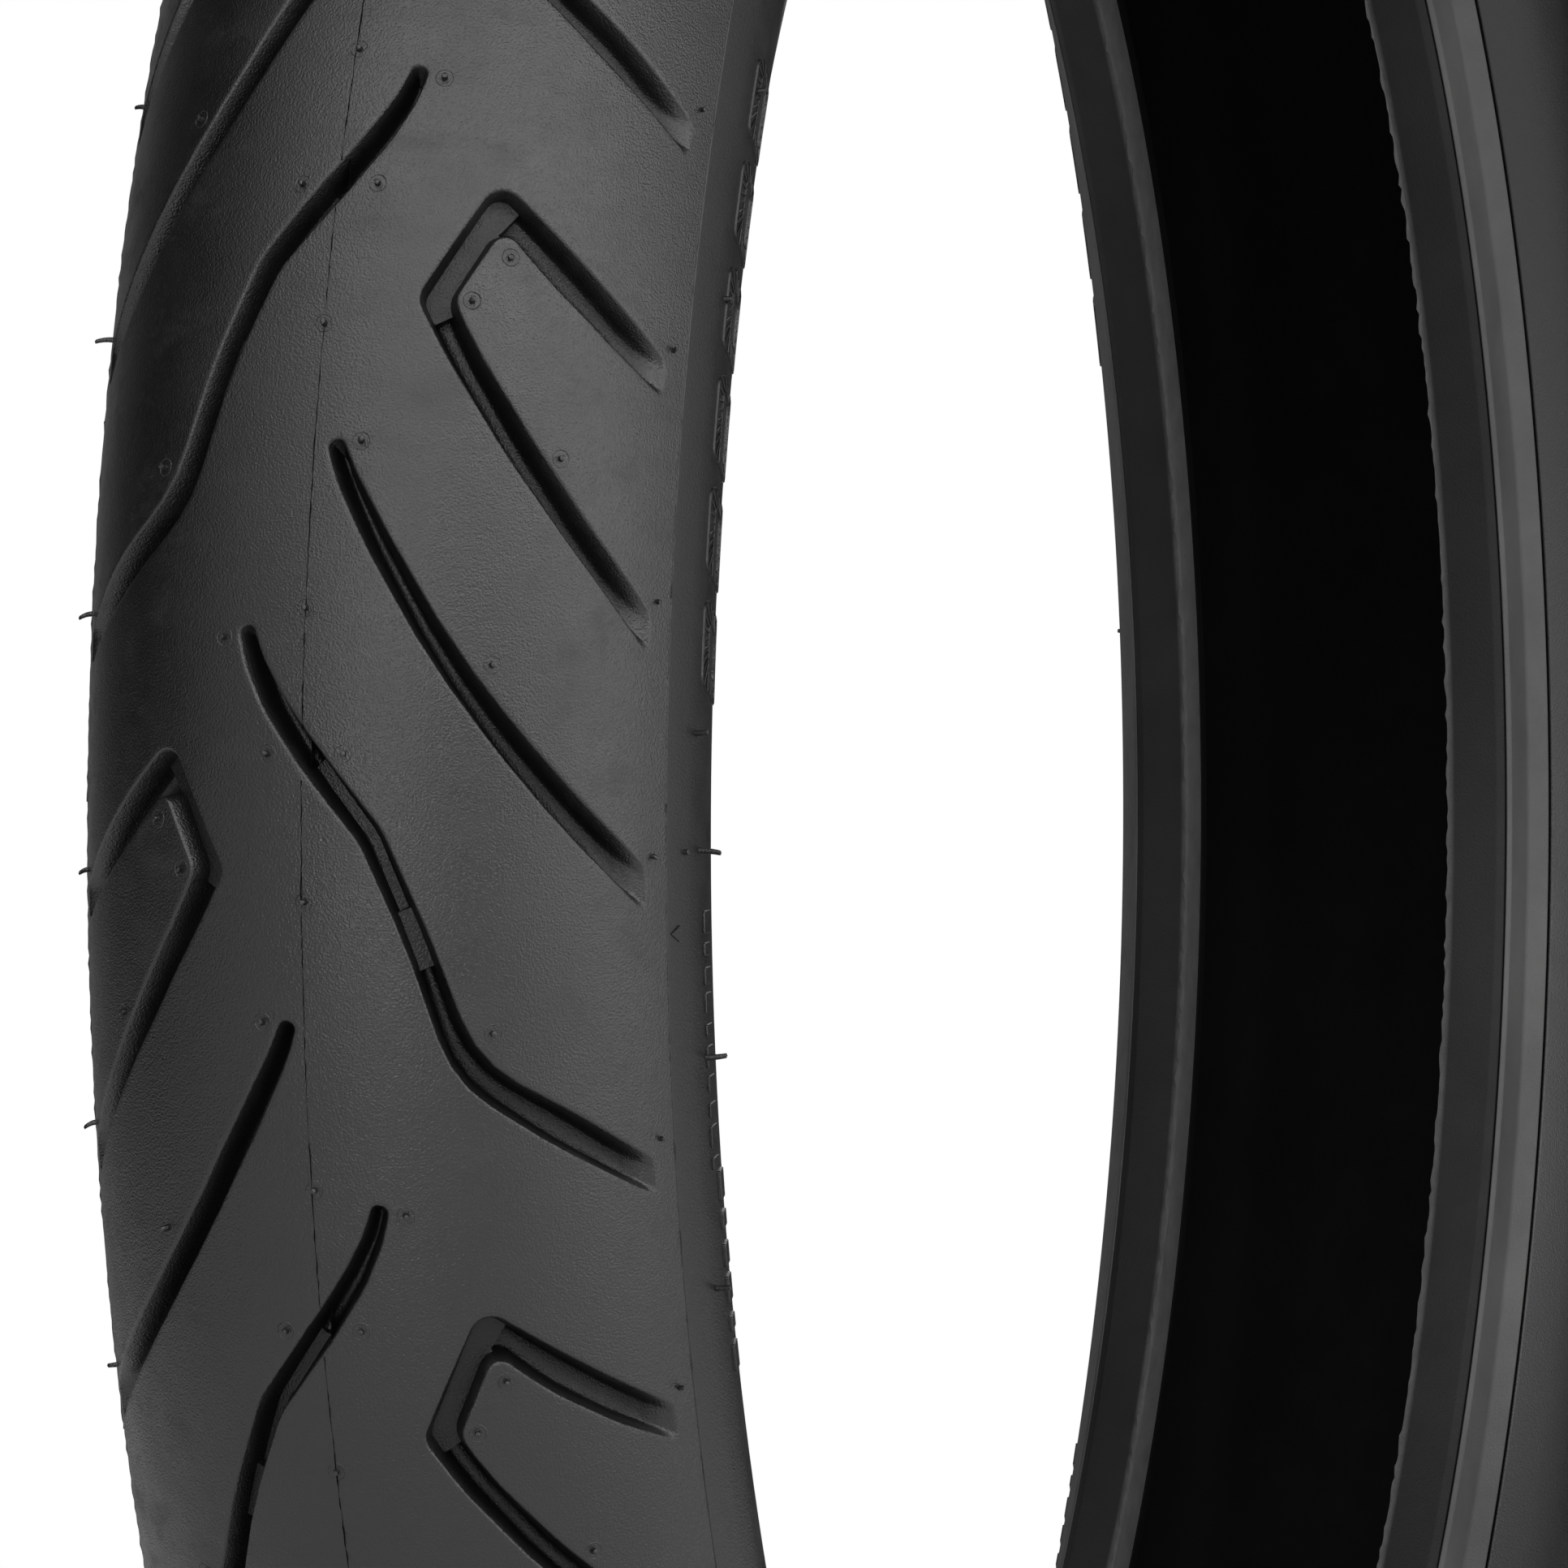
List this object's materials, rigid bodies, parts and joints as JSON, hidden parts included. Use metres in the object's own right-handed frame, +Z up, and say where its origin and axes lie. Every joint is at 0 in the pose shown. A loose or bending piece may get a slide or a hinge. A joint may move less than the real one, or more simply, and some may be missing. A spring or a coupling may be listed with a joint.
{
  "type": "motorcycle tyre",
  "caption": "Loose narrow motorcycle road tyre for a 17 inch rim: round crown, curved tread grooves, plies, breakers, beads and liner as separate pieces.",
  "frame": {"origin": "wheel centre: the middle of the tyre's width on its axle line", "axes": "+Z up, +Y along the axle towards the tyre's left side, +X forwards"},
  "size_m": [0.5918, 0.0944, 0.5918],
  "materials": {
    "tread_rubber": "matt moulded tread rubber",
    "sidewall_rubber": "satin moulded rubber",
    "inner_rubber": "dull uncut rubber",
    "liner_rubber": "smooth butyl with bladder marks",
    "cord_ply": "dipped textile cords in thin rubber",
    "bead_fabric": "rubbered square-woven fabric",
    "bead_steel": "bronze-coated steel wire"
  },
  "bodies": {
    "root": {"tread_cap": "tread_rubber", "tread_base": "inner_rubber", "breaker_outer": "cord_ply", "breaker_inner": "cord_ply", "carcass_ply_outer": "cord_ply", "carcass_ply_inner": "cord_ply", "inner_liner": "liner_rubber", "edge_cushion_left": "inner_rubber", "edge_cushion_right": "inner_rubber", "sidewall_left": "sidewall_rubber", "sidewall_right": "sidewall_rubber", "rim_strip_left": "sidewall_rubber", "rim_strip_right": "sidewall_rubber", "chafer_left": "bead_fabric", "chafer_right": "bead_fabric", "bead_filler_left": "inner_rubber", "bead_filler_right": "inner_rubber", "bead_wrap_left": "bead_fabric", "bead_wrap_right": "bead_fabric", "bead_wire_left": "bead_steel", "bead_wire_right": "bead_steel"}
  },
  "joints": []
}
